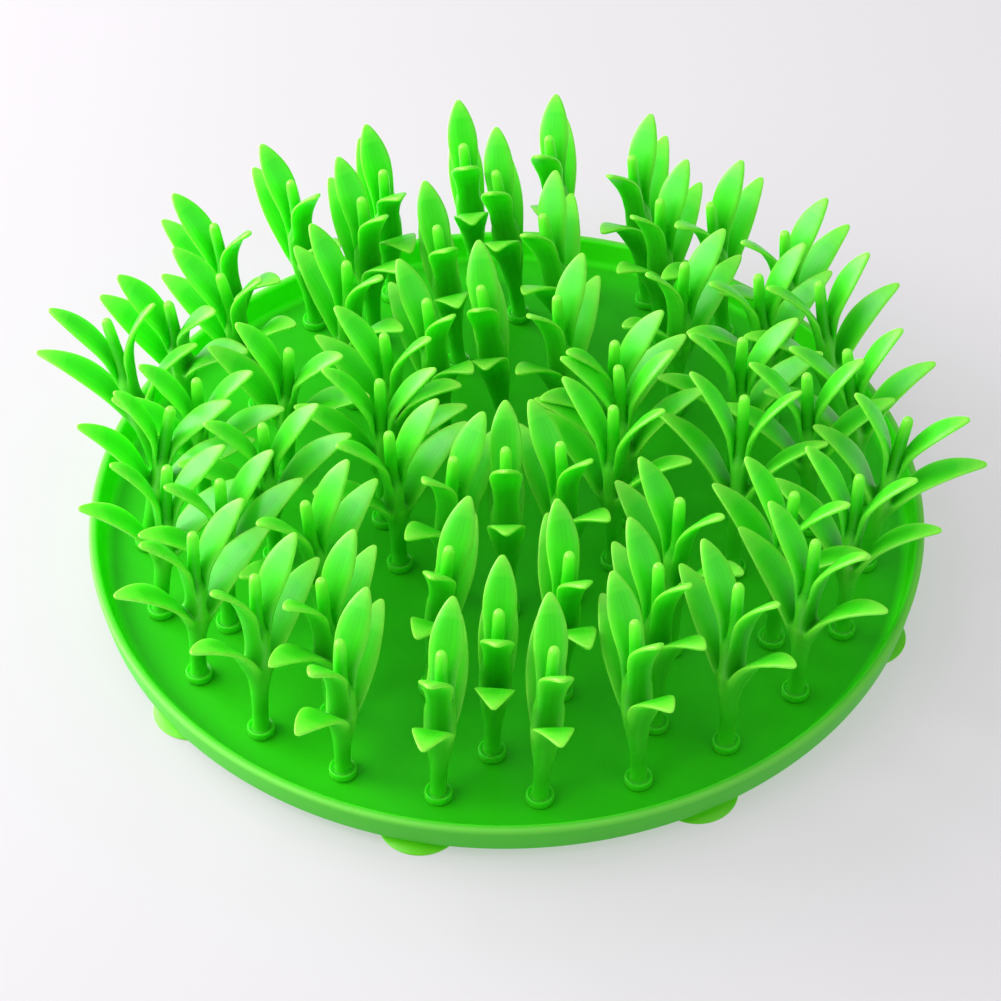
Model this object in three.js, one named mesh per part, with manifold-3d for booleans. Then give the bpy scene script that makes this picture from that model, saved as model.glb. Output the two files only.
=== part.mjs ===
// Grass feeding mat of moulded silicone: a round shallow tray on suction cups, set with rings of
// four-leaved grass tufts. Units are millimetres and +Z is up. The origin lies on the table, under
// the tray's centre. At zero degrees a tuft stands on +X, and angles grow towards +Y.
import * as THREE from "three";
import { mergeVertices } from "three/addons/utils/BufferGeometryUtils.js";
import Module from "manifold-3d";

const wasm = await Module();
wasm.setup();

// Tray
const RIM_RADIUS = 150;
const RIM_TOP = 16;
const RIM_THICKNESS = 3.4;
const RIM_ROUND = 1.2;
const WALL_FLARE = 1.4;
const UNDERSIDE = 4.5;
const FLOOR_TOP = 6.6;
const FLOOR_FILLET = 1.6;
const TRAY_SIDES = 64;

// Suction cups under the rim, moulded with the tray
const CUP_COUNT = 9;
const CUP_RING_RADIUS = 136.3;
const CUP_START = -142.5;
const CUP_RADIUS = 14.2;
const CUP_SEAT_WIDTH = 2.2;
const CUP_LIP = 0.8;
const CUP_HOLLOW = 1.5;
const CUP_NECK_RADIUS = 6;
const CUP_NECK_START = 3;
const CUP_SIDES = 12;

// Tuft: heights are above its own foot
const SEAT_GAP = 0.3;
const COLLAR_RADIUS = 4.7;
const COLLAR_HEIGHT = 2.6;
const COLLAR_SHOULDER = 0.8;
const STEM_RADIUS = 3.1;
const BEND_HEIGHT = 20;
const PEG_RADIUS = 2.3;
const PEG_TOP = 71.8;
const PEG_ROUND = 1.7;
const STEM_SIDES = 6;

// Leaf curves from the stem outwards: [distance from the stem's axis, height] of the root, the two
// handles and the tip
const LOWER_LEAF = { curve: [[0.9, 16], [1.6, 36], [12, 53], [30.5, 58.7]], halfWidth: 7, depth: 2.2 };
const UPPER_LEAF = { curve: [[0.8, 30], [0.9, 55], [8.8, 70.5], [19.8, 76.9]], halfWidth: 6.1, depth: 2 };

// Leaf outline: share of the half width and depth at each share of the curve, before the pointed tip
const LEAF_OUTLINE = [
  { at: 0.0, size: 0.42 },
  { at: 0.36, size: 0.86 },
  { at: 0.64, size: 1.0 },
  { at: 0.86, size: 0.62 },
];

// Rings of tufts, the first of each at its start angle
const RINGS = [
  { name: "outer", radius: 129.3, count: 24, start: -85.4 },
  { name: "second", radius: 109.5, count: 12, start: -92.9 },
  { name: "third", radius: 84.5, count: 12, start: -77.9 },
  { name: "inner", radius: 44, count: 12, start: -90 },
];

// Lean of each soft stem in degrees, [outward, sideways], in the order of the ring's tufts
const LEANS = {
  outer: [
    [-2.5, 4], [-6.5, 0], [-4.5, 4.5], [-0.5, 4], [-1, 4.5], [8, 2],
    [-8, 1.5], [-6.5, 5.5], [-2.5, 3], [-9, 1], [-1.5, 6.2], [1.8, 5.5],
    [-2, 4], [-8, 4], [2, 4], [3.4, 5.4], [-4, 13], [12, -4],
    [-11.5, 4.5], [-6.5, 2], [-2, 2], [-4.5, -1.5], [3, 3.5], [-0.5, 2],
  ],
  second: [
    [0, 2.5], [-6, 2.5], [2, 3], [-4.5, 4], [-4.5, 3.5], [0, 2],
    [0.5, 7], [-0.5, 2.5], [4.3, 8.4], [-2.5, 5], [-1.5, 0.5], [2.5, 1],
  ],
  third: [
    [2, 2], [-1, 2], [-2.5, 12], [0.5, 0], [2, -0.5], [1, 10.5],
    [-1.5, 6], [-1.5, 1.5], [-7, 8], [1, 4.5], [4.5, 0], [-1, 6],
  ],
  inner: [
    [-7, 0], [-5, -0.5], [-3.5, 4], [-4, 3.5], [-2, -4], [0.5, 3.5],
    [2, 7], [3.5, 3.5], [3, 2], [-0.5, 1.5], [3.5, 3.5], [-0.5, 4],
  ],
};

// Two neighbours of the inner ring lean together until their leaves meet, and are one solid
const JOINED_PAIR = { ring: "inner", numbers: [4, 5], name: "tuft_inner_04_05" };

// Finishes
const TUFT_COLOUR = 0x55dd2c;
const TRAY_COLOUR = 0x3fbd22;
const SILICONE_ROUGHNESS = 0.42;

// Closed solid from a geometry, without the flat triangles that a lathe leaves on its axis
function toSolid(geometry) {
  const bare = geometry.clone();
  bare.deleteAttribute("normal");
  bare.deleteAttribute("uv");
  const merged = mergeVertices(bare, 1e-4);
  const corners = merged.index.array;
  const kept = [];
  for (let i = 0; i < corners.length; i += 3) {
    const [a, b, c] = [corners[i], corners[i + 1], corners[i + 2]];
    if (a !== b && b !== c && c !== a) kept.push(a, b, c);
  }
  const vertProperties = new Float32Array(merged.attributes.position.array);
  const triVerts = new Uint32Array(kept);
  return new wasm.Manifold(new wasm.Mesh({ numProp: 3, vertProperties, triVerts }));
}

function toGeometry(solid) {
  const mesh = solid.getMesh();
  const geometry = new THREE.BufferGeometry();
  geometry.setAttribute("position", new THREE.BufferAttribute(new Float32Array(mesh.vertProperties), 3));
  geometry.setIndex(new THREE.BufferAttribute(new Uint32Array(mesh.triVerts), 1));
  geometry.computeVertexNormals();
  return geometry;
}

// Round body about +Z from [radius, height] pairs that start and end on the axis
function turned(profile, sides) {
  const points = profile.map(([radius, height]) => new THREE.Vector2(radius, height));
  return new THREE.LatheGeometry(points, sides).rotateX(Math.PI / 2);
}

function silicone(colour) {
  return new THREE.MeshStandardMaterial({ color: colour, roughness: SILICONE_ROUGHNESS, metalness: 0 });
}

// Tray: dish with a flared, round-topped rim
function dishProfile() {
  const foot = RIM_RADIUS - WALL_FLARE;
  const inner = RIM_RADIUS - RIM_THICKNESS;
  const crown = RIM_RADIUS - RIM_THICKNESS / 2;
  const floorEdge = inner - WALL_FLARE;
  return [
    [0, UNDERSIDE],
    [foot - RIM_ROUND, UNDERSIDE],
    [foot, UNDERSIDE + RIM_ROUND],
    [RIM_RADIUS, RIM_TOP - RIM_ROUND],
    [crown, RIM_TOP],
    [inner, RIM_TOP - RIM_ROUND],
    [floorEdge, FLOOR_TOP + FLOOR_FILLET],
    [floorEdge - FLOOR_FILLET, FLOOR_TOP],
    [0, FLOOR_TOP],
  ];
}

// Suction cup: hollow below, with a flat seat round its edge and a neck that runs into the tray
function cupProfile() {
  const neckTop = (UNDERSIDE + FLOOR_TOP) / 2;
  return [
    [0, CUP_HOLLOW],
    [CUP_RADIUS - CUP_SEAT_WIDTH, 0],
    [CUP_RADIUS, 0],
    [CUP_RADIUS, CUP_LIP],
    [CUP_NECK_RADIUS, CUP_NECK_START],
    [CUP_NECK_RADIUS, neckTop],
    [0, neckTop],
  ];
}

function tray() {
  let solid = toSolid(turned(dishProfile(), TRAY_SIDES));
  for (let i = 0; i < CUP_COUNT; i += 1) {
    const angle = THREE.MathUtils.degToRad(CUP_START + (360 / CUP_COUNT) * i);
    const cup = turned(cupProfile(), CUP_SIDES);
    cup.translate(CUP_RING_RADIUS * Math.cos(angle), CUP_RING_RADIUS * Math.sin(angle), 0);
    solid = solid.add(toSolid(cup));
  }
  const mesh = new THREE.Mesh(toGeometry(solid), silicone(TRAY_COLOUR));
  mesh.name = "tray";
  return mesh;
}

// Stem with its collar at the foot and the round-tipped peg on top
function stem() {
  const profile = [
    [0, 0],
    [COLLAR_RADIUS, 0],
    [COLLAR_RADIUS, COLLAR_HEIGHT],
    [STEM_RADIUS, COLLAR_HEIGHT + COLLAR_SHOULDER],
    [PEG_RADIUS, PEG_TOP - PEG_ROUND],
    [0, PEG_TOP],
  ];
  return turned(profile, STEM_SIDES);
}

// Leaf in the plane of +X: three-cornered sections, flat above and keeled below, along its curve
function leaf({ curve, halfWidth, depth }) {
  const path = new THREE.CubicBezierCurve(...curve.map(([out, up]) => new THREE.Vector2(out, up)));
  const points = [];
  for (const { at, size } of LEAF_OUTLINE) {
    const centre = path.getPoint(at);
    const along = path.getTangent(at);
    const half = halfWidth * size;
    const keel = depth * size;
    points.push(centre.x, half, centre.y);
    points.push(centre.x, -half, centre.y);
    points.push(centre.x + along.y * keel, 0, centre.y - along.x * keel);
  }
  const tip = path.getPoint(1);
  points.push(tip.x, 0, tip.y);
  const corners = 3;
  const last = LEAF_OUTLINE.length - 1;
  const tipIndex = LEAF_OUTLINE.length * corners;
  const faces = [0, 2, 1];
  for (let j = 0; j < corners; j += 1) {
    const k = (j + 1) % corners;
    for (let i = 0; i < last; i += 1) {
      const [here, next] = [i * corners, (i + 1) * corners];
      faces.push(here + j, here + k, next + k, here + j, next + k, next + j);
    }
    faces.push(last * corners + j, last * corners + k, tipIndex);
  }
  const geometry = new THREE.BufferGeometry();
  geometry.setAttribute("position", new THREE.Float32BufferAttribute(points, 3));
  geometry.setIndex(faces);
  return geometry;
}

// Tuft on its foot's centre: two pairs of opposite leaves that fan out along X
function tuftGeometry() {
  let solid = toSolid(stem());
  for (const shape of [LOWER_LEAF, UPPER_LEAF]) {
    for (const turn of [0, Math.PI]) {
      solid = solid.add(toSolid(leaf(shape).rotateZ(turn)));
    }
  }
  return toGeometry(solid);
}

// The stem leans above its collar, so the foot stays flat on the tray; leaves on the side that it
// leans to sink, and those across from them rise
function leaned(geometry, [outward, sideways]) {
  const copy = geometry.clone();
  const place = copy.attributes.position;
  const alongX = Math.tan(THREE.MathUtils.degToRad(outward));
  const alongY = Math.tan(THREE.MathUtils.degToRad(sideways));
  for (let i = 0; i < place.count; i += 1) {
    const [x, y, z] = [place.getX(i), place.getY(i), place.getZ(i)];
    const rise = Math.max(0, z - COLLAR_HEIGHT);
    const bent = Math.min(1, rise / BEND_HEIGHT);
    const sink = bent * (alongX * x + alongY * y);
    place.setXYZ(i, x + alongX * rise, y + alongY * rise, z - sink);
  }
  copy.computeVertexNormals();
  return copy;
}

function tuft(standing, ring, number) {
  const lean = LEANS[ring.name][number - 1];
  const angle = THREE.MathUtils.degToRad(ring.start + (360 / ring.count) * (number - 1));
  const mesh = new THREE.Mesh(leaned(standing, lean), silicone(TUFT_COLOUR));
  mesh.name = `tuft_${ring.name}_${String(number).padStart(2, "0")}`;
  mesh.position.set(ring.radius * Math.cos(angle), ring.radius * Math.sin(angle), FLOOR_TOP + SEAT_GAP);
  mesh.rotation.z = angle;
  return mesh;
}

function joined(tufts) {
  let solid = null;
  for (const one of tufts) {
    one.updateMatrixWorld();
    const body = toSolid(one.geometry.clone().applyMatrix4(one.matrixWorld));
    solid = solid ? solid.add(body) : body;
  }
  const mesh = new THREE.Mesh(toGeometry(solid), silicone(TUFT_COLOUR));
  mesh.name = JOINED_PAIR.name;
  return mesh;
}

function feedingMat() {
  const mat = new THREE.Group();
  mat.add(tray());
  const standing = tuftGeometry();
  const pair = [];
  for (const ring of RINGS) {
    for (let number = 1; number <= ring.count; number += 1) {
      const one = tuft(standing, ring, number);
      const inPair = ring.name === JOINED_PAIR.ring && JOINED_PAIR.numbers.includes(number);
      if (inPair) pair.push(one);
      else mat.add(one);
    }
  }
  mat.add(joined(pair));
  return mat;
}

export default feedingMat();
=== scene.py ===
"""Grass feeding mat of translucent green silicone, modelled and lit for a studio picture.

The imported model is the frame. Every piece here stands for one of its nodes, in metres, with +Z up
and the origin on the table under the tray's centre. Sizes of the mat are written in millimetres and
scaled, those of the studio in metres, and angles in degrees.
"""

import logging
import math
from collections.abc import Callable, Iterator
from dataclasses import dataclass, replace
from enum import Enum
from types import TracebackType

import bmesh
import bpy
from mathutils import Matrix, Vector

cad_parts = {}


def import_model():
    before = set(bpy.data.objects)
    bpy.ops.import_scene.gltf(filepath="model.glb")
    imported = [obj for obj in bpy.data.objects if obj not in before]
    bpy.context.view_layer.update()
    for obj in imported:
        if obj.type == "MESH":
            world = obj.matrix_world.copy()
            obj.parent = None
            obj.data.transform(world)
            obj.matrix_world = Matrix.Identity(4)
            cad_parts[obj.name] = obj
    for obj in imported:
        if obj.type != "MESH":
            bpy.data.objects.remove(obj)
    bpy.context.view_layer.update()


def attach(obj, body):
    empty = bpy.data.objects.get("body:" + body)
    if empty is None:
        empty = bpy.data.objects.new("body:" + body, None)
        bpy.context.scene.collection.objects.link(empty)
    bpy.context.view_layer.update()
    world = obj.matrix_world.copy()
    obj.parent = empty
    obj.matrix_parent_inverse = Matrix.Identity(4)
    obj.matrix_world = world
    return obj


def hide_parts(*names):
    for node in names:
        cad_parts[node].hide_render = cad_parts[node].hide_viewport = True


Triple = tuple[float, float, float]
Colour = Triple
Point = tuple[float, float]
Range = tuple[float, float]
Stops = tuple[float, ...]
Tree = bpy.types.NodeTree
Socket = bpy.types.NodeSocket

LOG = logging.getLogger("feeding_mat")
MM = 0.001
BODY = "root"
GROWTH = "growth"
MIDDLE = 0.5
CURVE_STEPS = 40
SLOPE_STEP = 0.01
NOISE_DETAIL = 3.0
LEVEL: Triple = (1.0, 1.0, 0.0)
WHITE: Colour = (1.0, 1.0, 1.0)
GREY: Colour = (0.5, 0.5, 0.5)
DUSK: Colour = (0.2, 0.2, 0.2)
BLACK: Colour = (0.0, 0.0, 0.0)

# Sockets of a Mix node that mixes colours: its share, both colours, and the result.
MIX_SHARE, MIX_UNDER, MIX_OVER = 0, 6, 7
MIX_RESULT = 2


class Slot(Enum):
    """Names of the tray's and the tufts' materials."""

    TRAY = "tray_silicone"
    TUFT = "tuft_silicone"


class Side(Enum):
    """Side of the stem that a leaf grows on, as the sign of its way along the tuft's plane."""

    OUTWARD = 1
    INWARD = -1


@dataclass(frozen=True)
class Hoop:
    """One ring of a round piece: its radius, its height, and how much wider it is along Y."""

    radius: float
    height: float
    spread: float = 1.0


class Bench:
    """One mesh on the bench, shaped in edit mode with operators."""

    def __init__(self, piece: bpy.types.Object) -> None:
        """Keeps the piece that is shaped."""
        self.piece = piece

    def __enter__(self) -> "Bench":
        """Opens the mesh with all of it selected.

        Returns:
            The bench, for the work on the open mesh.
        """
        bpy.ops.object.select_all(action="DESELECT")
        self.piece.select_set(True)
        bpy.context.view_layer.objects.active = self.piece
        bpy.ops.object.mode_set(mode="EDIT")
        bpy.ops.mesh.select_mode(type="FACE")
        bpy.ops.mesh.select_all(action="SELECT")
        return self

    def __exit__(
        self,
        kind: type[BaseException] | None,
        error: BaseException | None,
        trace: TracebackType | None,
    ) -> None:
        """Closes the mesh with its faces turned outwards.

        Args:
            kind: Class of an error that ended the work, not used.
            error: That error, not used.
            trace: Where it happened, not used.
        """
        bpy.ops.mesh.select_all(action="SELECT")
        bpy.ops.mesh.normals_make_consistent(inside=False)
        bpy.ops.object.mode_set(mode="OBJECT")

    def faces(self) -> Iterator[bmesh.types.BMFace]:
        """Gives the faces of the open mesh."""
        return iter(bmesh.from_edit_mesh(self.piece.data).faces)

    def pick(self, wanted: Callable[[Vector], bool]) -> list[Vector]:
        """Selects the faces whose middle is wanted.

        Args:
            wanted: Test of a face's middle.

        Returns:
            The corners of the picked faces.
        """
        bpy.ops.mesh.select_all(action="DESELECT")
        corners = []
        for face in self.faces():
            if wanted(face.calc_center_median()):
                face.select_set(True)
                corners.extend(corner.co.copy() for corner in face.verts)
        bmesh.update_edit_mesh(self.piece.data)
        return corners

    def extrude(self) -> None:
        """Extrudes the selected faces in place."""
        bpy.ops.mesh.extrude_region_move(TRANSFORM_OT_translate={"value": (0, 0, 0)})

    def shift(self, step: Vector) -> None:
        """Moves what is selected by a step."""
        bpy.ops.transform.translate(value=step)

    def stretch(self, factors: Triple, about: Vector) -> None:
        """Scales what is selected along X, Y and Z about a point."""
        bpy.ops.transform.resize(value=factors, center_override=about)

    def lift(self, angle: float, about: Vector) -> None:
        """Turns what is selected about Y through a point, from +X towards +Z."""
        bpy.ops.transform.rotate(value=angle, orient_axis="Y", center_override=about)

    def raise_rings(self, profile: list[Hoop]) -> None:
        """Extrudes the selected disc through a profile of rings.

        Args:
            profile: Rings in millimetres, the first of them the disc's own.
        """
        for last, ring in zip(profile, profile[1:]):
            self.extrude()
            self.shift(Vector((0, 0, (ring.height - last.height) * MM)))
            grow = ring.radius / last.radius
            widen = ring.spread / last.spread
            self.stretch((grow, grow * widen, 1), Vector((0, 0, ring.height * MM)))


def disc(name: str, sides: int, start: Hoop) -> bpy.types.Object:
    """Adds a flat disc that a round piece is raised from.

    Args:
        name: Name of the piece.
        sides: Corners of the disc.
        start: First ring of the piece, in millimetres.

    Returns:
        The disc, with its height in its mesh.
    """
    bpy.ops.object.select_all(action="DESELECT")
    bpy.ops.mesh.primitive_circle_add(vertices=sides, radius=start.radius * MM, fill_type="NGON")
    piece = bpy.context.object
    piece.name = name
    piece.data.name = name
    with Bench(piece) as bench:
        bench.shift(Vector((0, 0, start.height * MM)))
    return piece


def rounded(piece: bpy.types.Object, levels: int) -> None:
    """Rounds a piece with a subdivision surface and shades it smooth.

    Args:
        piece: Mesh object to round.
        levels: Subdivision levels.
    """
    bpy.ops.object.select_all(action="DESELECT")
    piece.select_set(True)
    bpy.context.view_layer.objects.active = piece
    surface = piece.modifiers.new("round", "SUBSURF")
    surface.levels = levels
    surface.render_levels = levels
    bpy.ops.object.modifier_apply(modifier=surface.name)
    bpy.ops.object.shade_smooth()


def arc(centre: Point, radius: float, start: float, end: float, steps: int) -> list[Hoop]:
    """Gives the rings of an arc in a round piece's profile.

    Args:
        centre: Distance from the axis and height of the arc's centre.
        radius: Radius of the arc.
        start: First angle, from outwards towards up.
        end: Last angle.
        steps: Stretches of the arc.

    Returns:
        The rings, both ends included.
    """
    angles = [math.radians(start + (end - start) * i / steps) for i in range(steps + 1)]
    out, height = centre
    return [Hoop(out + radius * math.cos(a), height + radius * math.sin(a)) for a in angles]


def copied(mould: bpy.types.Object, name: str) -> bpy.types.Object:
    """Adds a copy of a mould with its own mesh.

    Args:
        mould: Mesh object to copy.
        name: Name of the copy and of its mesh.

    Returns:
        The copy, at the origin.
    """
    mesh = mould.data.copy()
    mesh.name = name
    piece = bpy.data.objects.new(name, mesh)
    bpy.context.scene.collection.objects.link(piece)
    return piece


def settle(piece: bpy.types.Object, node: str, finish: bpy.types.Material) -> None:
    """Puts a finished piece in the place of its node.

    Args:
        piece: Finished mesh object.
        node: Node that the piece stands for.
        finish: Material of the piece.
    """
    piece.data.materials.clear()
    piece.data.materials.append(finish)
    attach(piece, BODY)
    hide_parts(node)
    LOG.info("%s stands for %s, %d faces", piece.name, node, len(piece.data.polygons))


def noise(tree: Tree, place: Socket, scale: float = 1.0) -> Socket:
    """Adds a soft noise.

    Args:
        tree: Node tree of the material.
        place: Coordinates that the noise reads.
        scale: Scale of the noise.

    Returns:
        The noise, from nought to one.
    """
    texture = tree.nodes.new("ShaderNodeTexNoise")
    texture.inputs["Scale"].default_value = scale
    texture.inputs["Detail"].default_value = NOISE_DETAIL
    tree.links.new(place, texture.inputs["Vector"])
    return texture.outputs["Fac"]


def ramp(tree: Tree, share: Socket, stops: Stops, colours: tuple[Colour, ...]) -> Socket:
    """Adds a colour ramp.

    Args:
        tree: Node tree of the material.
        share: Value that the ramp reads.
        stops: Place of each stop.
        colours: Colour of each stop.

    Returns:
        The colour.
    """
    node = tree.nodes.new("ShaderNodeValToRGB")
    marks = node.color_ramp.elements
    while len(marks) < len(stops):
        marks.new(1.0)
    for mark, position, colour in zip(marks, stops, colours):
        mark.position = position
        mark.color = (*colour, 1)
    tree.links.new(share, node.inputs["Fac"])
    return node.outputs["Color"]


def span(tree: Tree, length: Socket, ends: Range, low: float = 0.0) -> Socket:
    """Adds a rise to one between two lengths.

    Args:
        tree: Node tree of the material.
        length: Length that is read, in metres.
        ends: Both lengths, in millimetres.
        low: Value at the first of them.

    Returns:
        The value.
    """
    node = tree.nodes.new("ShaderNodeMapRange")
    node.inputs["To Min"].default_value = low
    node.inputs["From Min"].default_value = ends[0] * MM
    node.inputs["From Max"].default_value = ends[1] * MM
    tree.links.new(length, node.inputs["Value"])
    return node.outputs["Result"]


def blend(tree: Tree, kind: str, share: Socket | None, under: Socket, over: Socket | Colour) -> Socket:
    """Lays one colour over another.

    Args:
        tree: Node tree of the material.
        kind: Way the colours mix.
        share: How much of the upper colour shows, or nothing for all of it.
        under: Lower colour.
        over: Upper colour.

    Returns:
        The mixed colour.
    """
    node = tree.nodes.new("ShaderNodeMix")
    node.data_type = "RGBA"
    node.blend_type = kind
    node.inputs[MIX_SHARE].default_value = 1.0
    if share is not None:
        tree.links.new(share, node.inputs[MIX_SHARE])
    tree.links.new(under, node.inputs[MIX_UNDER])
    if isinstance(over, tuple):
        node.inputs[MIX_OVER].default_value = (*over, 1)
    else:
        tree.links.new(over, node.inputs[MIX_OVER])
    return node.outputs[MIX_RESULT]


@dataclass(frozen=True, kw_only=True)
class Silicone:
    """Translucent moulded silicone with a soft cloudiness and a fine moulded grain."""

    name: str
    colour: Colour
    cloud: Colour
    roughness: Range
    scatter: float
    scatter_depth: float
    scatter_reach: Colour = (0.35, 1.0, 0.2)
    refraction: float = 1.41
    specular: float = 0.5
    cloud_scale: float = 22.0
    cloud_stops: Stops = (0.3, 0.7)
    grain_scale: float = 900.0
    grain_strength: float = 0.04
    grain_height: float = 0.1

    def tint(self, tree: Tree, place: Socket, cloud: Socket) -> Socket:
        """Makes the colour of the surface.

        Args:
            tree: Node tree of the material.
            place: Place on the piece, not used here.
            cloud: Soft noise over the piece.

        Returns:
            The colour.
        """
        return ramp(tree, cloud, self.cloud_stops, (self.cloud, self.colour))

    def material(self) -> bpy.types.Material:
        """Makes the material.

        Returns:
            A node material on object coordinates.
        """
        made = bpy.data.materials.new(self.name)
        made.use_nodes = True
        tree = made.node_tree
        shader = tree.nodes["Principled BSDF"]
        place = tree.nodes.new("ShaderNodeTexCoord").outputs["Object"]
        cloud = noise(tree, place, self.cloud_scale)
        dullness = tree.nodes.new("ShaderNodeMapRange")
        dullness.inputs["To Min"].default_value = self.roughness[0]
        dullness.inputs["To Max"].default_value = self.roughness[1]
        bump = tree.nodes.new("ShaderNodeBump")
        bump.inputs["Strength"].default_value = self.grain_strength
        bump.inputs["Distance"].default_value = self.grain_height * MM
        tree.links.new(cloud, dullness.inputs["Value"])
        tree.links.new(noise(tree, place, self.grain_scale), bump.inputs["Height"])
        tree.links.new(self.tint(tree, place, cloud), shader.inputs["Base Color"])
        tree.links.new(dullness.outputs["Result"], shader.inputs["Roughness"])
        tree.links.new(bump.outputs["Normal"], shader.inputs["Normal"])
        shader.inputs["IOR"].default_value = self.refraction
        shader.inputs["Specular IOR Level"].default_value = self.specular
        shader.inputs["Subsurface Weight"].default_value = self.scatter
        shader.inputs["Subsurface Radius"].default_value = self.scatter_reach
        shader.inputs["Subsurface Scale"].default_value = self.scatter_depth * MM
        return made


@dataclass(frozen=True, kw_only=True)
class LeafSilicone(Silicone):
    """Silicone of the tufts, with painted shade at the fork and the leaf bases, and a painted glow and
    highlight along the leaf edges and over the leaf tips.
    """

    # Painted shade: a darker green laid on the fork and the leaf bases, where shade falls between the
    # leaves.
    heart_shade: Colour
    # Painted glow and highlight: the lighter green of light shining through the thin leaf edges and
    # glinting on their rounded sides.
    edge: Colour
    streak: Colour
    streak_scales: Triple = (0.6, 4.0, 1.0)
    streak_stops: Stops = (0.35, 0.6)
    # Where along the leaf the painted shade lies, strongest at the fork and the leaf bases.
    heart_shade_stops: Stops = (0.0, 0.2, 0.36, 0.6)
    # Where the painted glow and highlight lie, across the blade and along it.
    edge_glow_stops: Stops = (0.0, 0.08, 0.26, 0.74, 0.92, 1.0)
    blade_stops: Stops = (0.15, 0.45)
    tip_glow_stops: Stops = (0.8, 1.0)

    def tint(self, tree: Tree, place: Socket, cloud: Socket) -> Socket:
        """Makes the colour of a leaf from its place along and across the leaf.

        Args:
            tree: Node tree of the material.
            place: Place on the piece.
            cloud: Soft noise over the piece.

        Returns:
            The colour.
        """
        growth = tree.nodes.new("ShaderNodeAttribute")
        growth.attribute_name = GROWTH
        shares = tree.nodes.new("ShaderNodeSeparateXYZ")
        tree.links.new(growth.outputs["Vector"], shares.inputs["Vector"])
        along, across = shares.outputs["X"], shares.outputs["Y"]
        stretch = tree.nodes.new("ShaderNodeMapping")
        stretch.inputs["Scale"].default_value = self.streak_scales
        tree.links.new(growth.outputs["Vector"], stretch.inputs["Vector"])
        lines = noise(tree, stretch.outputs["Vector"])
        streaks = ramp(tree, lines, self.streak_stops, (self.streak, WHITE))
        body = blend(tree, "MULTIPLY", None, super().tint(tree, place, cloud), streaks)
        # Painted shade: darker green mixed in at the fork and the leaf bases, where shade falls between
        # the leaves and the peg.
        shade_share = ramp(tree, along, self.heart_shade_stops, (DUSK, GREY, GREY, BLACK))
        shaded = blend(tree, "MIX", shade_share, body, self.heart_shade)
        # Painted glow and highlight: lighter green along both edges of each blade, and over the leaf
        # tips and the peg's top.
        rim = ramp(tree, across, self.edge_glow_stops, (WHITE, GREY, BLACK, BLACK, GREY, WHITE))
        blade = ramp(tree, along, self.blade_stops, (BLACK, WHITE))
        thin = blend(tree, "MULTIPLY", None, rim, blade)
        edge_lit = blend(tree, "MIX", thin, shaded, self.edge)
        tip_glow = ramp(tree, along, self.tip_glow_stops, (BLACK, WHITE))
        return blend(tree, "MIX", tip_glow, edge_lit, self.edge)


@dataclass(frozen=True, kw_only=True)
class RimSilicone(Silicone):
    """Silicone of the tray, with a painted glow and highlight on its thin rim and a painted glow on the
    inner side and the floor next to it, where light shines through.
    """

    # Painted glow and highlight: the lighter green of light shining through the thin rim and catching
    # its rounded top.
    rim: Colour
    rim_glow_radii: Range = (147.0, 149.0)
    rim_glow_heights: Range = (13.8, 15.8)
    rim_glow_below: float = 0.35
    # Painted glow: the bright green of light shining through the thin side onto its inner face and the
    # floor's outer edge, which also lightens the corner where shade falls.
    wall_glow: Colour
    wall_glow_radii: Range = (140.0, 150.0)
    wall_glow_stops: Stops = (0.15, 0.5, 0.68, 0.8)

    def tint(self, tree: Tree, place: Socket, cloud: Socket) -> Socket:
        """Makes the colour of the tray from the distance to its centre and the height.

        Args:
            tree: Node tree of the material.
            place: Place on the piece.
            cloud: Soft noise over the piece.

        Returns:
            The colour.
        """
        level = tree.nodes.new("ShaderNodeMapping")
        level.inputs["Scale"].default_value = LEVEL
        radius = tree.nodes.new("ShaderNodeVectorMath")
        radius.operation = "LENGTH"
        height = tree.nodes.new("ShaderNodeSeparateXYZ")
        tree.links.new(place, level.inputs["Vector"])
        tree.links.new(level.outputs["Vector"], radius.inputs[0])
        tree.links.new(place, height.inputs["Vector"])
        # Painted glow and highlight on the rim, fading to part strength below its top.
        outer = span(tree, radius.outputs["Value"], self.rim_glow_radii)
        upper = span(tree, height.outputs["Z"], self.rim_glow_heights, self.rim_glow_below)
        thin = blend(tree, "MULTIPLY", None, outer, upper)
        # Painted glow on the inner face of the side and the floor next to it, lightening the corner
        # where shade falls.
        inner = span(tree, radius.outputs["Value"], self.wall_glow_radii)
        glow = ramp(tree, inner, self.wall_glow_stops, (BLACK, WHITE, WHITE, BLACK))
        body = blend(tree, "MIX", glow, super().tint(tree, place, cloud), self.wall_glow)
        return blend(tree, "MIX", thin, body, self.rim)


@dataclass(frozen=True)
class Station:
    """One section of a leaf's blade: where it is on the curve, and its share of width and depth."""

    share: float
    width: float
    depth: float


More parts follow.
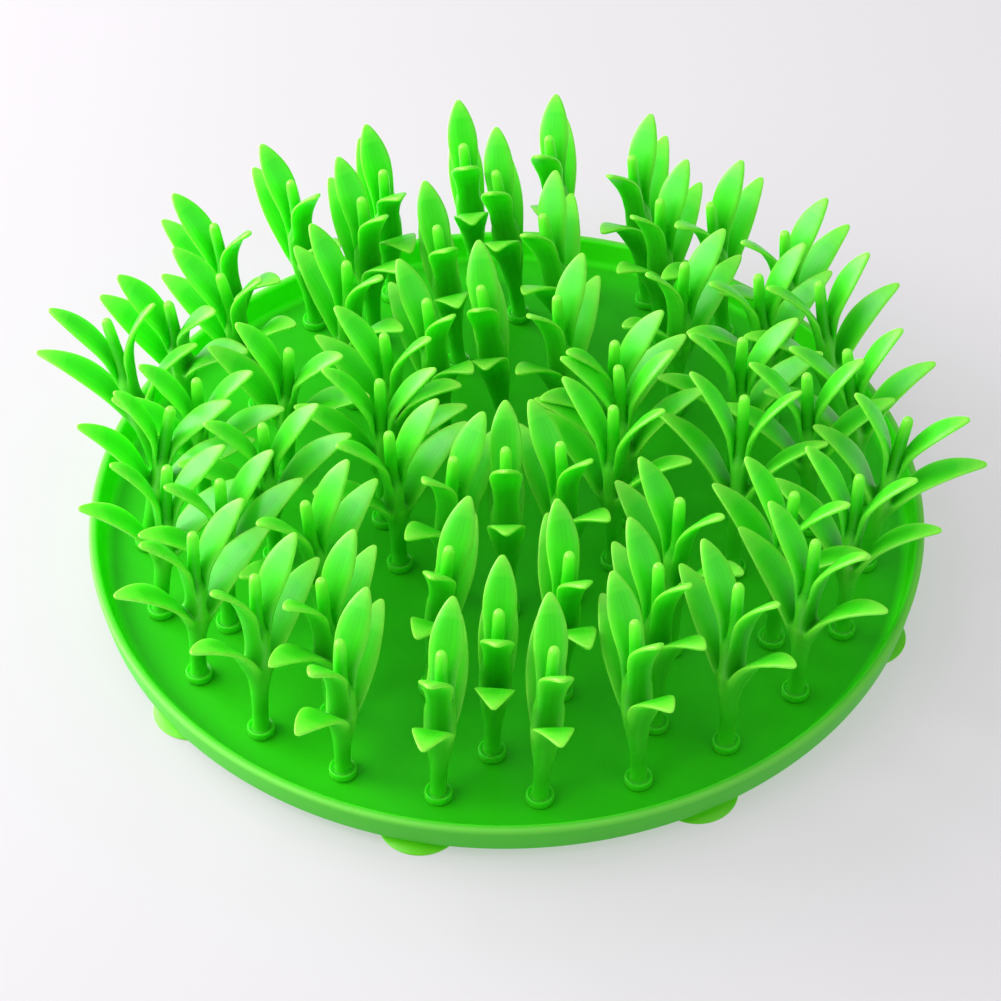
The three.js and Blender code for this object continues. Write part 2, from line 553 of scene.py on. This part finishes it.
@dataclass(frozen=True)
class Leaf:
    """Leaf that grows out of two rings of the stem and follows a curve in the tuft's plane."""

    root: Range
    curve: tuple[Point, Point, Point, Point]
    half_width: float
    thickness: float

    def weights(self, share: float) -> tuple[float, float, float, float]:
        """Gives the weights of the curve's four points at a share of its length."""
        rest = 1 - share
        return rest**3, 3 * rest**2 * share, 3 * rest * share**2, share**3

    def place(self, share: float, side: Side) -> Vector:
        """Gives a point of the curve.

        Args:
            share: Share of the curve's length.
            side: Side of the stem.

        Returns:
            The point, in metres.
        """
        pairs = list(zip(self.weights(share), self.curve))
        out = sum(weight * point[0] for weight, point in pairs)
        height = sum(weight * point[1] for weight, point in pairs)
        return Vector((side.value * out * MM, 0, height * MM))

    def nearest(self, place: Vector) -> tuple[float, float]:
        """Finds where the curve passes nearest to a place.

        Args:
            place: Place on either side of the stem, in metres.

        Returns:
            The distance in metres, and the share of the curve's length.
        """
        flat = Vector((abs(place.x), 0, place.z))
        shares = [step / CURVE_STEPS for step in range(CURVE_STEPS + 1)]
        return min(((self.place(share, Side.OUTWARD) - flat).length, share) for share in shares)

    def slope(self, share: float) -> float:
        """Gives the curve's angle above level.

        Args:
            share: Share of the curve's length.

        Returns:
            The angle, in radians.
        """
        ahead = self.place(share + SLOPE_STEP, Side.OUTWARD)
        behind = self.place(share - SLOPE_STEP, Side.OUTWARD)
        way = ahead - behind
        return math.atan2(way.z, way.x)


@dataclass(frozen=True)
class Ring:
    """Ring of tufts round the tray's centre.

    Each lean is a soft stem's: away from the centre, and towards growing angles.
    """

    name: str
    radius: float
    start: float
    leans: tuple[Point, ...]

    def angle(self, number: int) -> float:
        """Gives the angle of a place in the ring, counted from one, in radians."""
        return math.radians(self.start + 360 / len(self.leans) * (number - 1))


COLLAR = (
    Hoop(4.5, -0.4),
    Hoop(4.8, 0.0),
    Hoop(4.8, 2.0),
    Hoop(4.65, 2.8),
    Hoop(4.3, 3.0),
    Hoop(3.9, 2.8),
    Hoop(3.4, 2.2),
)
STEM = (
    Hoop(2.95, 2.5),
    Hoop(2.8, 3.8),
    Hoop(2.75, 6.0),
    Hoop(2.8, 14.0, 1.02),
    Hoop(2.85, 19.0, 1.15),
    Hoop(2.95, 25.0, 1.5),
    Hoop(2.9, 32.0, 1.85),
    Hoop(2.8, 36.0, 1.95),
    Hoop(2.6, 41.0, 2.1),
    Hoop(2.5, 46.5, 2.1),
)
PEG = (
    Hoop(2.3, 50.0),
    Hoop(2.15, 58.0),
    Hoop(2.05, 69.0),
    Hoop(1.8, 70.8),
    Hoop(1.0, 71.8),
)
LEAVES = (
    Leaf((25.0, 36.0), ((0.9, 16.0), (1.6, 36.0), (12.0, 53.0), (30.2, 58.7)), 6.55, 2.05),
    Leaf((41.0, 46.5), ((0.8, 40.0), (1.2, 57.0), (9.5, 70.5), (19.8, 76.9)), 5.75, 2.0),
)
BLADE = (
    Station(0.30, 0.80, 1.30),
    Station(0.42, 0.94, 1.12),
    Station(0.55, 1.05, 1.0),
    Station(0.67, 1.03, 0.95),
    Station(0.79, 0.84, 0.9),
    Station(0.89, 0.58, 0.85),
    Station(0.96, 0.33, 0.8),
    Station(1.0, 0.12, 0.6),
)
RINGS = (
    Ring("outer", 129.3, -85.4, (
        (-2.5, 4), (-6.5, 0), (-4.5, 4.5), (-0.5, 4), (-1, 4.5), (8, 2),
        (-8, 1.5), (-6.5, 5.5), (-2.5, 3), (-9, 1), (-1.5, 6.2), (1.8, 5.5),
        (-2, 4), (-8, 4), (2, 4), (3.4, 5.4), (-4, 13), (12, -4),
        (-11.5, 4.5), (-6.5, 2), (-2, 2), (-4.5, -1.5), (3, 3.5), (-0.5, 2),
    )),
    Ring("second", 109.5, -92.9, (
        (0, 2.5), (-6, 2.5), (2, 3), (-4.5, 4), (-4.5, 3.5), (0, 2),
        (0.5, 7), (-0.5, 2.5), (4.3, 8.4), (-2.5, 5), (-1.5, 0.5), (2.5, 1),
    )),
    Ring("third", 84.5, -77.9, (
        (2, 2), (-1, 2), (-2.5, 12), (0.5, 0), (2, -0.5), (1, 10.5),
        (-1.5, 6), (-1.5, 1.5), (-7, 8), (1, 4.5), (4.5, 0), (-1, 6),
    )),
    Ring("inner", 44.0, -90.0, (
        (-7, 0), (-5, -0.5), (-3.5, 4), (-4, 3.5), (-2, -4), (0.5, 3.5),
        (2, 7), (3.5, 3.5), (3, 2), (-0.5, 1.5), (3.5, 3.5), (-0.5, 4),
    )),
)


@dataclass
class Tufts:
    """All the grass tufts, from one mould, in their rings.

    A tuft is a stem with a collar at its foot, a peg at its top, and leaves on both sides. Shares of a
    leaf's length are also given to the foot, the fork of the lowest leaves and the foot of the peg, for
    the finish to follow.
    """

    finish: bpy.types.Material
    stem: tuple[Hoop, ...] = COLLAR + STEM + PEG
    stem_sides: int = 8
    round_levels: int = 2
    leaves: tuple[Leaf, ...] = LEAVES
    blade: tuple[Station, ...] = BLADE
    root_slope: float = 1.5
    root_reach: float = 4.7
    peg_radius: float = 3.1
    peg_heights: Range = (48.0, 71.8)
    # The shares of the foot, the fork and the peg place the finish's painted shade at the fork and its
    # painted glow on the peg's top.
    foot_share: float = 0.6
    fork_share: float = 0.25
    peg_share: float = 0.5
    rings: tuple[Ring, ...] = RINGS
    foot_height: float = 6.9
    bend_start: float = 2.6
    bend_height: float = 20.0
    pair: tuple[tuple[str, int], ...] = (("inner", 4), ("inner", 5))
    pair_node: str = "tuft_inner_04_05"

    def stem_rings(self) -> list[Hoop]:
        """Gives the stem's rings, widened by what the rounding takes off a ring of few corners."""
        shrink = (2 + math.cos(2 * math.pi / self.stem_sides)) / 3
        return [replace(ring, radius=ring.radius / shrink) for ring in self.stem]

    def mould(self) -> bpy.types.Object:
        """Models the tuft that all others are copied from, upright on its foot's centre.

        Returns:
            The tuft, with its leaves along X.
        """
        rings = self.stem_rings()
        piece = disc("tuft_mould", self.stem_sides, rings[0])
        with Bench(piece) as bench:
            bench.raise_rings(rings)
        for leaf in self.leaves:
            for side in Side:
                with Bench(piece) as bench:
                    self.grow(bench, leaf, side)
        rounded(piece, self.round_levels)
        marks = piece.data.attributes.new(GROWTH, "FLOAT_VECTOR", "POINT")
        for corner, mark in zip(piece.data.vertices, marks.data):
            mark.vector = self.growth(corner.co)
        return piece

    def growth(self, place: Vector) -> Triple:
        """Tells where on its leaf a place lies, for the finish to follow.

        Args:
            place: Place on the upright tuft.

        Returns:
            The share of the leaf's length, the share of its width from one edge to the other, and
            the height in metres. The peg counts as the outer part of a leaf.
        """
        peg_foot, peg_top = (height * MM for height in self.peg_heights)
        fork = self.leaves[0].curve[0][1] * MM
        if place.z < fork:
            fall = self.foot_share - self.fork_share
            return self.foot_share - fall * place.z / fork, MIDDLE, place.z
        if place.z > peg_foot and math.hypot(place.x, place.y) < self.peg_radius * MM:
            risen = (place.z - peg_foot) / (peg_top - peg_foot)
            return self.peg_share + (1 - self.peg_share) * risen, MIDDLE, place.z
        leaf = min(self.leaves, key=lambda each: each.nearest(place))
        share = max(self.fork_share, leaf.nearest(place)[1])
        half = leaf.half_width * self.blade_width(share) * MM
        across = MIDDLE + MIDDLE * place.y / half
        return share, min(max(across, 0.0), 1.0), place.z

    def blade_width(self, share: float) -> float:
        """Gives the width of a blade.

        Args:
            share: Share of the leaf's length.

        Returns:
            The share of the leaf's half width.
        """
        first, last = self.blade[0], self.blade[-1]
        held = min(max(share, first.share), last.share)
        low, high = next(pair for pair in zip(self.blade, self.blade[1:]) if held <= pair[1].share)
        return low.width + (high.width - low.width) * (held - low.share) / (high.share - low.share)

    def grow(self, bench: Bench, leaf: Leaf, side: Side) -> None:
        """Grows a leaf out of the stem's side.

        Args:
            bench: Bench with the stem.
            leaf: Form of the leaf.
            side: Side of the stem.
        """
        low, high = (height * MM for height in leaf.root)

        def on_root(middle: Vector) -> bool:
            """Tells if a face's middle lies where the leaf grows."""
            out = middle.x * side.value
            beside = abs(middle.y) < self.root_slope * out and out < self.root_reach * MM
            return beside and low < middle.z < high

        corners = bench.pick(on_root)
        centre = sum(corners, Vector()) / len(corners)
        width = max(corner.y for corner in corners)
        depth = high - low
        angle = 0.0
        flat = 0.0
        for station in self.blade:
            new_width = leaf.half_width * station.width * MM
            new_depth = leaf.thickness * station.depth * MM
            new_angle = side.value * leaf.slope(station.share)
            target = leaf.place(station.share, side)
            bench.extrude()
            bench.lift(-angle, centre)
            bench.stretch((flat, new_width / width, new_depth / depth), centre)
            bench.lift(new_angle, centre)
            bench.shift(target - centre)
            centre, width, depth, angle, flat = target, new_width, new_depth, new_angle, 1.0

    def stand(self, mould: bpy.types.Object, ring: Ring, number: int) -> None:
        """Stands a copy of the tuft in its place in a ring.

        Args:
            mould: Tuft to copy.
            ring: Ring of the copy.
            number: Place in the ring, from one.
        """
        label = f"{ring.name}_{number:02d}"
        piece = copied(mould, f"grass_{label}")
        out, aside = (math.tan(math.radians(angle)) for angle in ring.leans[number - 1])
        for corner in piece.data.vertices:
            rise = max(0.0, corner.co.z - self.bend_start * MM)
            bent = min(1.0, rise / (self.bend_height * MM))
            corner.co.z -= bent * (out * corner.co.x + aside * corner.co.y)
            corner.co.x += out * rise
            corner.co.y += aside * rise
        foot = Matrix.Translation((ring.radius * MM, 0, self.foot_height * MM))
        piece.data.transform(Matrix.Rotation(ring.angle(number), 4, "Z") @ foot)
        paired = (ring.name, number) in self.pair
        node = self.pair_node if paired else f"tuft_{label}"
        settle(piece, node, self.finish)

    def build(self) -> None:
        """Models the tuft once and stands its copies in their rings."""
        mould = self.mould()
        for ring in self.rings:
            for number in range(1, len(ring.leans) + 1):
                self.stand(mould, ring, number)
        bpy.data.objects.remove(mould)


@dataclass
class Tray:
    """Round dish with a flared, round-topped rim, on suction cups."""

    finish: bpy.types.Material
    cup_finish: bpy.types.Material
    sides: int = 192
    rim_radius: float = 150.0
    rim_top: float = 16.0
    rim_thickness: float = 3.4
    rim_round: float = 1.2
    rim_steps: int = 5
    wall_flare: float = 1.4
    underside: float = 4.5
    underside_inset: float = 7.2
    foot_steps: int = 4
    floor_top: float = 6.6
    floor_fillet: float = 1.6
    floor_insets: tuple[float, ...] = (3.2, 9.6)
    floor_shares: tuple[float, ...] = (0.5, 0.1)
    cup_count: int = 9
    cup_sides: int = 48
    cup_ring_radius: float = 136.3
    cup_start: float = -142.5
    cup_hollow: tuple[Point, ...] = ((1.0, 1.5), (5.0, 1.25), (9.0, 0.65), (11.4, 0.08), (12.0, 0.0))
    cup_edge: tuple[Point, ...] = ((13.8, 0.0), (14.2, 0.3), (14.2, 0.6), (13.8, 0.95))
    cup_neck: tuple[Point, ...] = ((11.0, 1.7), (8.0, 2.5), (6.4, 3.3), (6.0, 4.2), (6.0, 5.2))
    cup_crease: float = 40.0

    def dish_profile(self) -> list[Hoop]:
        """Gives the dish's rings.

        Returns:
            The rings, from the underside over the rim to the floor's middle.
        """
        foot = self.rim_radius - self.wall_flare
        inner = self.rim_radius - self.rim_thickness
        edge = inner - self.wall_flare
        turn, fillet = self.rim_round, self.floor_fillet
        top = self.rim_top - turn
        return [
            Hoop(foot - self.underside_inset, self.underside),
            *arc((foot - turn, self.underside + turn), turn, -90, 0, self.foot_steps),
            *arc((self.rim_radius - turn, top), turn, 0, 90, self.rim_steps),
            *arc((inner + turn, top), turn, 90, 180, self.rim_steps),
            *arc((edge - fillet, self.floor_top + fillet), fillet, 0, -90, self.rim_steps),
            *(Hoop(edge - inset, self.floor_top) for inset in self.floor_insets),
            *(Hoop(edge * share, self.floor_top) for share in self.floor_shares),
        ]

    def dish(self) -> bpy.types.Object:
        """Models the dish.

        Returns:
            The dish, closed below and above.
        """
        profile = self.dish_profile()
        piece = disc("tray_dish", self.sides, profile[0])
        with Bench(piece) as bench:
            bench.raise_rings(profile)
        bpy.ops.object.shade_smooth()
        return piece

    def cup(self) -> bpy.types.Object:
        """Models one suction cup under the tray's centre.

        Returns:
            The cup, from the hollow below over its thin edge to its neck.
        """
        profile = [Hoop(*point) for point in self.cup_hollow + self.cup_edge + self.cup_neck]
        piece = disc("cup_mould", self.cup_sides, profile[0])
        with Bench(piece) as bench:
            bench.raise_rings(profile)
        bpy.ops.object.shade_smooth_by_angle(angle=math.radians(self.cup_crease))
        return piece

    def build(self) -> None:
        """Models the dish and stands the cups under its rim."""
        settle(self.dish(), "tray", self.finish)
        mould = self.cup()
        out = Matrix.Translation((self.cup_ring_radius * MM, 0, 0))
        for number in range(self.cup_count):
            piece = copied(mould, f"suction_cup_{number + 1}")
            angle = math.radians(self.cup_start + 360 / self.cup_count * number)
            piece.data.transform(Matrix.Rotation(angle, 4, "Z") @ out)
            settle(piece, "tray", self.cup_finish)
        bpy.data.objects.remove(mould)


@dataclass(frozen=True)
class Softbox:
    """Square studio lamp that looks at the mat."""

    name: str
    place: Triple
    size: float
    power: float

    def hang(self) -> None:
        """Adds the lamp to the scene."""
        data = bpy.data.lights.new(self.name, "AREA")
        data.size = self.size
        data.energy = self.power
        lamp = bpy.data.objects.new(self.name, data)
        lamp.location = self.place
        lamp.rotation_euler = (-Vector(self.place)).to_track_quat("-Z", "Y").to_euler()
        bpy.context.scene.collection.objects.link(lamp)


@dataclass
class Studio:
    """Pale floor, soft light and the camera at the photograph's angle."""

    floor_side: float = 8.0
    floor_colour: Colour = (0.315, 0.297, 0.32)
    floor_roughness: float = 0.7
    floor_specular: float = 0.2
    floor_glow: float = 0.435
    sky_colour: Colour = (1.0, 0.99, 1.0)
    sky_strength: float = 0.29
    lamps: tuple[Softbox, ...] = (
        Softbox("key", (-1.1, 0.45, 0.5), 1.1, 29.0),
        Softbox("side", (-0.9, -0.4, 0.9), 0.9, 9.0),
        Softbox("top", (0.0, 0.3, 1.5), 1.5, 5.5),
        Softbox("fill", (1.1, -0.6, 0.9), 1.2, 4.5),
    )
    lens_mm: float = 107.9
    sensor_mm: float = 36.0
    sight: float = 20.0
    distance: float = 1.0893
    elevation: float = 46.18
    aim_height: float = 0.0045
    yaw: float = 0.11
    pitch: float = 0.45
    roll: float = 0.49

    def floor(self) -> None:
        """Lays the floor that the mat stands on."""
        bpy.ops.object.select_all(action="DESELECT")
        bpy.ops.mesh.primitive_plane_add(size=self.floor_side)
        piece = bpy.context.object
        piece.name = "floor"
        paper = bpy.data.materials.new("pale_floor")
        paper.use_nodes = True
        shader = paper.node_tree.nodes["Principled BSDF"]
        shader.inputs["Base Color"].default_value = (*self.floor_colour, 1)
        shader.inputs["Roughness"].default_value = self.floor_roughness
        shader.inputs["Specular IOR Level"].default_value = self.floor_specular
        shader.inputs["Emission Color"].default_value = (*self.sky_colour, 1)
        shader.inputs["Emission Strength"].default_value = self.floor_glow
        piece.data.materials.append(paper)

    def sky(self) -> None:
        """Fills the room with soft light."""
        world = bpy.data.worlds.new("studio")
        world.use_nodes = True
        back = world.node_tree.nodes["Background"]
        back.inputs["Color"].default_value = (*self.sky_colour, 1)
        back.inputs["Strength"].default_value = self.sky_strength
        bpy.context.scene.world = world

    def axes(self, ahead: Vector) -> Matrix:
        """Turns the camera's axes a little from straight at the mat's centre.

        Args:
            ahead: Way from the camera to the centre.

        Returns:
            The camera's turn, with its right, its top and its back as columns.
        """
        right = Vector((1, 0, 0))
        above = right.cross(ahead)
        turn = Matrix.Rotation(math.radians(self.yaw), 3, above)
        ahead, right = turn @ ahead, turn @ right
        nod = Matrix.Rotation(math.radians(self.pitch), 3, right)
        ahead, above = nod @ ahead, nod @ above
        tilt = Matrix.Rotation(math.radians(self.roll), 3, ahead)
        right, above = tilt @ right, tilt @ above
        return Matrix((right, above, -ahead)).transposed().to_4x4()

    def camera(self) -> None:
        """Sets the camera where the photograph was taken from."""
        data = bpy.data.cameras.new("photo_camera")
        data.lens = self.lens_mm
        data.sensor_width = self.sensor_mm
        data.clip_end = self.sight
        rise = math.radians(self.elevation)
        stand = Vector((0, -math.cos(rise), math.sin(rise))) * self.distance
        place = Matrix.Translation(stand + Vector((0, 0, self.aim_height)))
        lens = bpy.data.objects.new("photo_camera", data)
        lens.matrix_world = place @ self.axes(-stand.normalized())
        bpy.context.scene.collection.objects.link(lens)
        bpy.context.scene.camera = lens

    def build(self) -> None:
        """Sets up the floor, the light and the camera."""
        self.floor()
        self.sky()
        for lamp in self.lamps:
            lamp.hang()
        self.camera()
        bpy.context.scene.view_settings.view_transform = "Standard"


TUFT_SILICONE = LeafSilicone(
    name="tuft_silicone",
    colour=(0.075, 0.76, 0.014),
    cloud=(0.06, 0.70, 0.011),
    roughness=(0.32, 0.46),
    scatter=0.85,
    scatter_depth=7.0,
    # Painted shade at the fork and the leaf bases.
    heart_shade=(0.006, 0.36, 0.003),
    # Painted glow and highlight of the leaf edges and tips.
    edge=(0.25, 0.92, 0.065),
    streak=(0.72, 0.86, 0.72),
)
TRAY_SILICONE = RimSilicone(
    name="tray_silicone",
    colour=(0.026, 0.56, 0.003),
    cloud=(0.021, 0.51, 0.002),
    roughness=(0.38, 0.5),
    scatter=0.4,
    scatter_depth=4.0,
    specular=0.28,
    # Painted glow and highlight of the thin rim.
    rim=(0.175, 0.66, 0.078),
    # Painted glow of the inner side and the floor's outer edge.
    wall_glow=(0.06, 0.92, 0.006),
)
CUP_SILICONE = Silicone(
    name="cup_silicone",
    colour=(0.16, 0.74, 0.015),
    cloud=(0.14, 0.70, 0.012),
    roughness=(0.3, 0.42),
    scatter=0.5,
    scatter_depth=5.0,
)


def main() -> None:
    """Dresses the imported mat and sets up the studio."""
    logging.basicConfig(level=logging.INFO)
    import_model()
    Tray(TRAY_SILICONE.material(), CUP_SILICONE.material()).build()
    Tufts(TUFT_SILICONE.material()).build()
    Studio().build()


if __name__ == "__main__":
    main()
